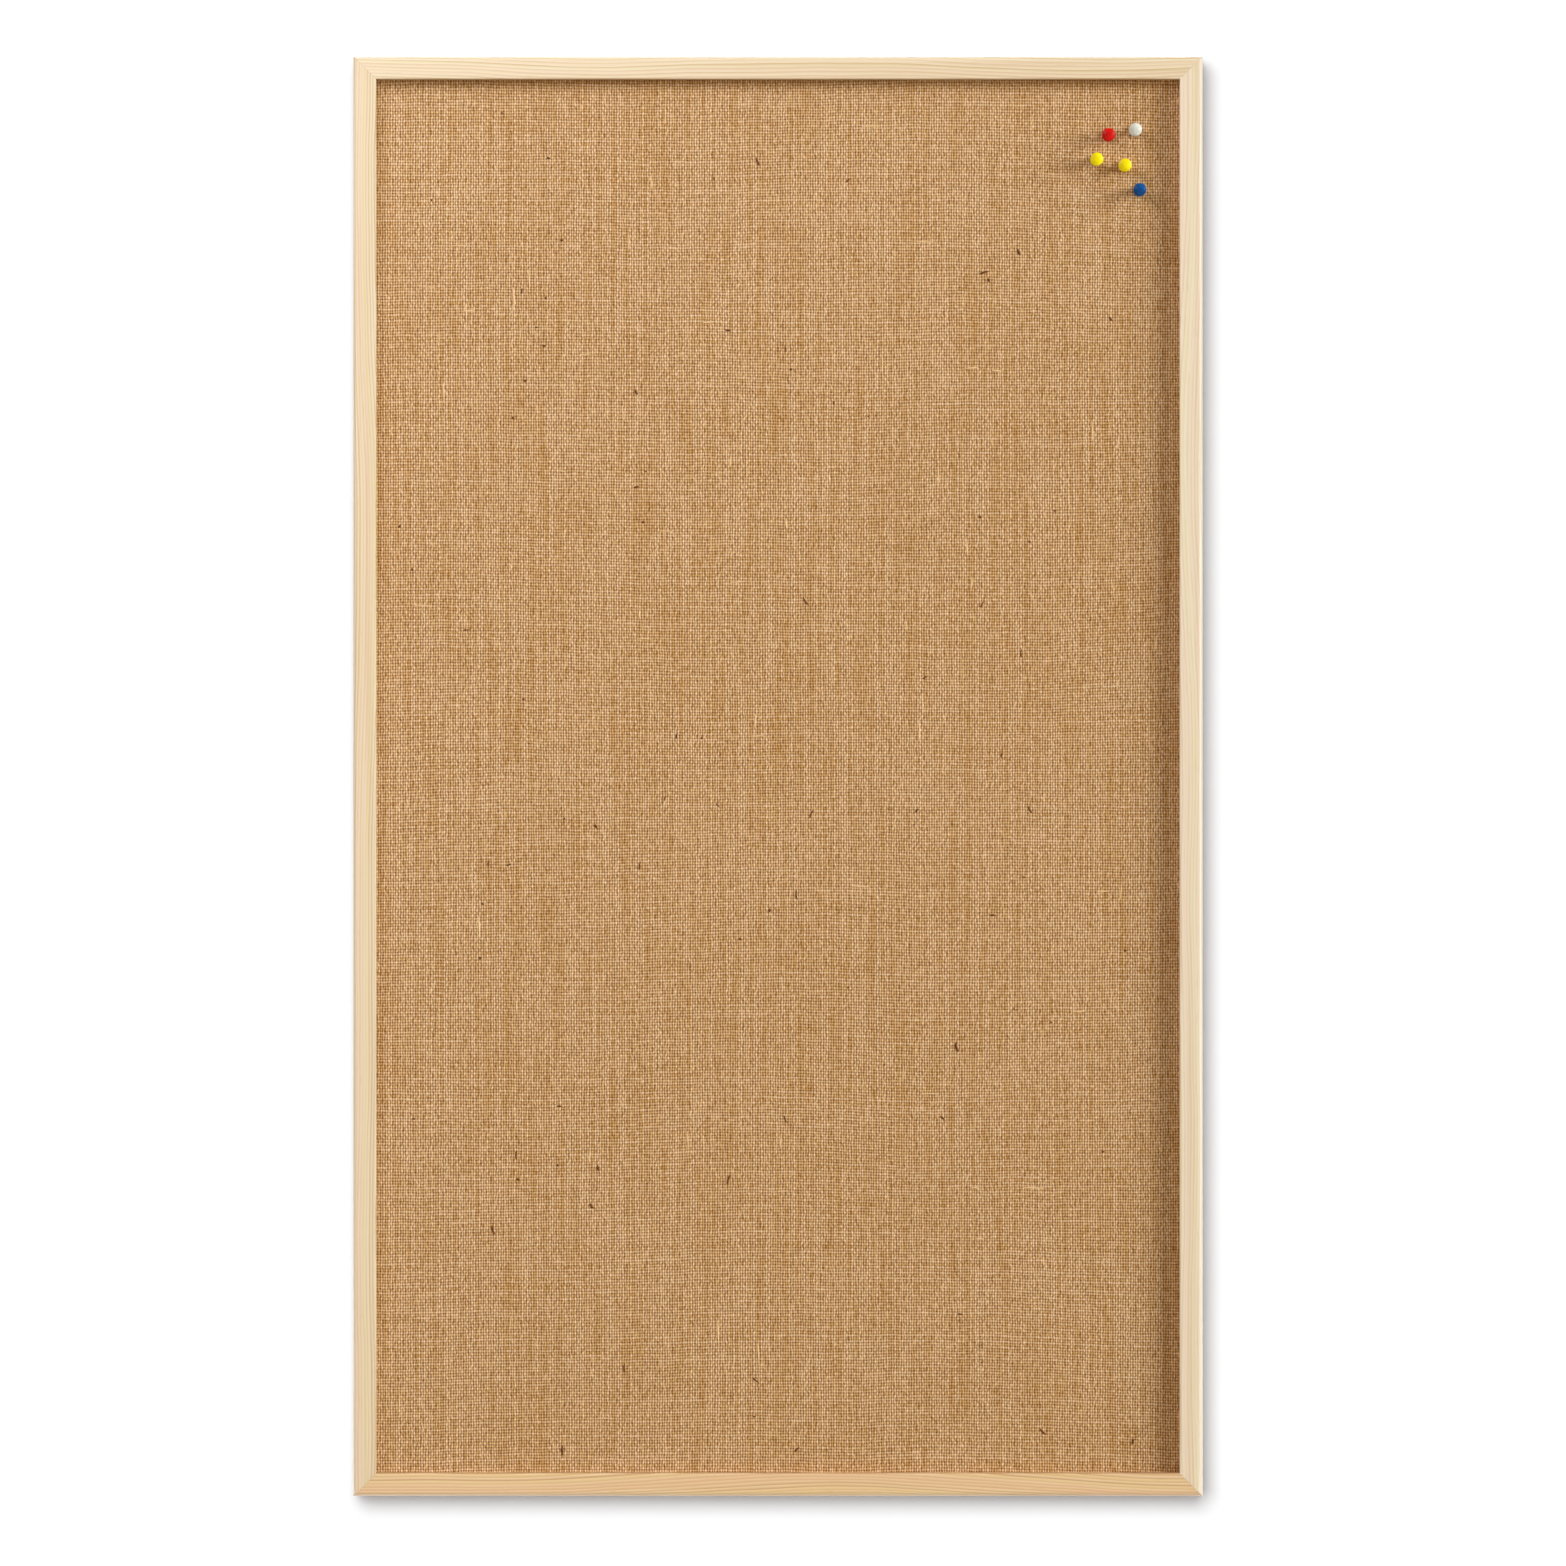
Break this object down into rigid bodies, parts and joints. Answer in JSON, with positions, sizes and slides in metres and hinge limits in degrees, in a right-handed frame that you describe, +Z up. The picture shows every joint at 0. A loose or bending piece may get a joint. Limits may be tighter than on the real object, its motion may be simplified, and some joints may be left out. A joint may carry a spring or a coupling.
{
  "type": "pin badge board",
  "caption": "Tall wall board for pin badges: burlap-covered softboard recessed in a mitred pine frame, with push pins at a corner and ring hangers on the back.",
  "frame": {"origin": "middle of the top rail's back face, on the plane that lies towards the wall", "axes": "+X to the right as seen from the front, +Y from the front towards the wall, +Z up"},
  "size_m": [0.59, 0.0333, 1],
  "materials": {
    "pine": "satin",
    "burlap": "matte",
    "softboard": "matte",
    "hardboard": "matte",
    "steel": "satin",
    "zinc": "satin",
    "red_plastic": "gloss",
    "white_plastic": "gloss",
    "yellow_plastic": "gloss",
    "blue_plastic": "gloss"
  },
  "bodies": {
    "board": {"top_rail": "pine", "bottom_rail": "pine", "left_stile": "pine", "right_stile": "pine", "v_nail_top_right_1": "steel", "v_nail_top_right_2": "steel", "v_nail_bottom_right_1": "steel", "v_nail_bottom_right_2": "steel", "v_nail_bottom_left_1": "steel", "v_nail_bottom_left_2": "steel", "v_nail_top_left_1": "steel", "v_nail_top_left_2": "steel", "burlap_cover": "burlap", "soft_core": "softboard", "backing_board": "hardboard", "point_top_rail_1": "steel", "point_top_rail_2": "steel", "point_top_rail_3": "steel", "point_bottom_rail_1": "steel", "point_bottom_rail_2": "steel", "point_bottom_rail_3": "steel", "point_right_stile_1": "steel", "point_right_stile_2": "steel", "point_right_stile_3": "steel", "point_right_stile_4": "steel", "point_right_stile_5": "steel", "point_left_stile_1": "steel", "point_left_stile_2": "steel", "point_left_stile_3": "steel", "point_left_stile_4": "steel", "point_left_stile_5": "steel", "hanger_strap_left": "zinc", "hanger_strap_right": "zinc", "hanger_screw_left": "zinc", "hanger_screw_right": "zinc"},
    "red_pin": {"red_pin_grip": "red_plastic", "red_pin_needle": "steel"},
    "white_pin": {"white_pin_grip": "white_plastic", "white_pin_needle": "steel"},
    "yellow_left_pin": {"yellow_left_pin_grip": "yellow_plastic", "yellow_left_pin_needle": "steel"},
    "yellow_right_pin": {"yellow_right_pin_grip": "yellow_plastic", "yellow_right_pin_needle": "steel"},
    "blue_pin": {"blue_pin_grip": "blue_plastic", "blue_pin_needle": "steel"},
    "left_ring": {"hanger_ring_left": "zinc"},
    "right_ring": {"hanger_ring_right": "zinc"}
  },
  "joints": [
    {"name": "red_pin_pull", "type": "slide", "parent": "board", "child": "red_pin", "axis": [0, -1, 0], "range_m": [0, 0.03]},
    {"name": "white_pin_pull", "type": "slide", "parent": "board", "child": "white_pin", "axis": [0, -1, 0], "range_m": [0, 0.03]},
    {"name": "yellow_left_pin_pull", "type": "slide", "parent": "board", "child": "yellow_left_pin", "axis": [0, -1, 0], "range_m": [0, 0.03]},
    {"name": "yellow_right_pin_pull", "type": "slide", "parent": "board", "child": "yellow_right_pin", "axis": [0, -1, 0], "range_m": [0, 0.03]},
    {"name": "blue_pin_pull", "type": "slide", "parent": "board", "child": "blue_pin", "axis": [0, -1, 0], "range_m": [0, 0.03]},
    {"name": "left_ring_swing", "type": "hinge", "parent": "board", "child": "left_ring", "pos_m": [-0.29, 0.0023, -0.145], "axis": [-1, 0, 0], "range_deg": [0, 165]},
    {"name": "right_ring_swing", "type": "hinge", "parent": "board", "child": "right_ring", "pos_m": [0.29, 0.0023, -0.145], "axis": [-1, 0, 0], "range_deg": [0, 165]}
  ]
}
